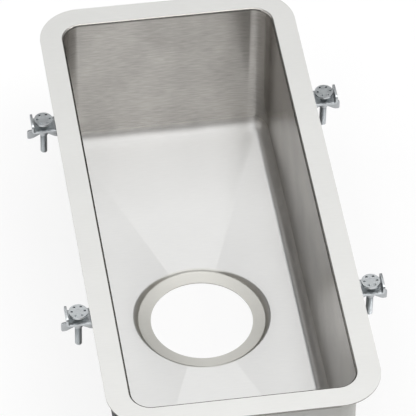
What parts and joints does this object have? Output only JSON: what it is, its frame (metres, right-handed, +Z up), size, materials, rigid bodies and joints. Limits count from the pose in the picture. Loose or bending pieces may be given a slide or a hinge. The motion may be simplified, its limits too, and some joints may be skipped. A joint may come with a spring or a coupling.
{
  "type": "undermount kitchen sink",
  "caption": "Narrow stainless undermount sink bowl with a creased floor, centred drain recess, sound pads and swinging wing-nut clips that hold its flange to a worktop.",
  "frame": {"origin": "centre of the opening, in the plane of the flange's top face, which is the underside of the worktop", "axes": "+X to the right, +Y to the back wall, +Z up out of the bowl"},
  "size_m": [0.2764, 0.496, 0.1552],
  "materials": {
    "brushed_stainless": "brushed satin",
    "undercoat": "sprayed matt",
    "damping_rubber": "matt",
    "zinc_plated_steel": "bright zinc",
    "zinc_plated_casting": "satin zinc"
  },
  "bodies": {
    "sink": {"bowl_shell": "brushed_stainless", "undercoat": "undercoat", "side_pad_left": "damping_rubber", "side_pad_right": "damping_rubber", "end_pad_front": "damping_rubber", "end_pad_back": "damping_rubber", "floor_pad_front": "damping_rubber", "floor_pad_back": "damping_rubber", "stud_plate_front_left": "zinc_plated_steel", "stud_plate_back_left": "zinc_plated_steel", "stud_plate_front_right": "zinc_plated_steel", "stud_plate_back_right": "zinc_plated_steel"},
    "washer_front_left": {"washer_front_left": "zinc_plated_steel"},
    "clip_front_left": {"clip_front_left": "zinc_plated_steel"},
    "wing_nut_front_left": {"wing_nut_front_left": "zinc_plated_casting"},
    "washer_back_left": {"washer_back_left": "zinc_plated_steel"},
    "clip_back_left": {"clip_back_left": "zinc_plated_steel"},
    "wing_nut_back_left": {"wing_nut_back_left": "zinc_plated_casting"},
    "washer_front_right": {"washer_front_right": "zinc_plated_steel"},
    "clip_front_right": {"clip_front_right": "zinc_plated_steel"},
    "wing_nut_front_right": {"wing_nut_front_right": "zinc_plated_casting"},
    "washer_back_right": {"washer_back_right": "zinc_plated_steel"},
    "clip_back_right": {"clip_back_right": "zinc_plated_steel"},
    "wing_nut_back_right": {"wing_nut_back_right": "zinc_plated_casting"}
  },
  "joints": [
    {"name": "clip_slack_front_left", "type": "slide", "parent": "sink", "child": "washer_front_left", "axis": [0, 0, -1], "range_m": [0, 0.006]},
    {"name": "clip_swing_front_left", "type": "hinge", "parent": "washer_front_left", "child": "clip_front_left", "pos_m": [-0.12375, -0.1145, -0.0105], "axis": [0, 0, 1], "range_deg": [-80, 80]},
    {"name": "wing_nut_turn_front_left", "type": "hinge", "parent": "washer_front_left", "child": "wing_nut_front_left", "pos_m": [-0.12375, -0.1145, -0.0105], "axis": [0, 0, -1], "range_deg": [0, 2160]},
    {"name": "clip_slack_back_left", "type": "slide", "parent": "sink", "child": "washer_back_left", "axis": [0, 0, -1], "range_m": [0, 0.006]},
    {"name": "clip_swing_back_left", "type": "hinge", "parent": "washer_back_left", "child": "clip_back_left", "pos_m": [-0.12375, 0.1145, -0.0105], "axis": [0, 0, 1], "range_deg": [-80, 80]},
    {"name": "wing_nut_turn_back_left", "type": "hinge", "parent": "washer_back_left", "child": "wing_nut_back_left", "pos_m": [-0.12375, 0.1145, -0.0105], "axis": [0, 0, -1], "range_deg": [0, 2160]},
    {"name": "clip_slack_front_right", "type": "slide", "parent": "sink", "child": "washer_front_right", "axis": [0, 0, -1], "range_m": [0, 0.006]},
    {"name": "clip_swing_front_right", "type": "hinge", "parent": "washer_front_right", "child": "clip_front_right", "pos_m": [0.12375, -0.1145, -0.0105], "axis": [0, 0, 1], "range_deg": [-80, 80]},
    {"name": "wing_nut_turn_front_right", "type": "hinge", "parent": "washer_front_right", "child": "wing_nut_front_right", "pos_m": [0.12375, -0.1145, -0.0105], "axis": [0, 0, -1], "range_deg": [0, 2160]},
    {"name": "clip_slack_back_right", "type": "slide", "parent": "sink", "child": "washer_back_right", "axis": [0, 0, -1], "range_m": [0, 0.006]},
    {"name": "clip_swing_back_right", "type": "hinge", "parent": "washer_back_right", "child": "clip_back_right", "pos_m": [0.12375, 0.1145, -0.0105], "axis": [0, 0, 1], "range_deg": [-80, 80]},
    {"name": "wing_nut_turn_back_right", "type": "hinge", "parent": "washer_back_right", "child": "wing_nut_back_right", "pos_m": [0.12375, 0.1145, -0.0105], "axis": [0, 0, -1], "range_deg": [0, 2160]}
  ],
  "couplings": [
    {"joint": "wing_nut_turn_front_left", "follows": "clip_slack_front_left", "rad_per_m": 6283.2},
    {"joint": "wing_nut_turn_back_left", "follows": "clip_slack_back_left", "rad_per_m": 6283.2},
    {"joint": "wing_nut_turn_front_right", "follows": "clip_slack_front_right", "rad_per_m": 6283.2},
    {"joint": "wing_nut_turn_back_right", "follows": "clip_slack_back_right", "rad_per_m": 6283.2}
  ]
}
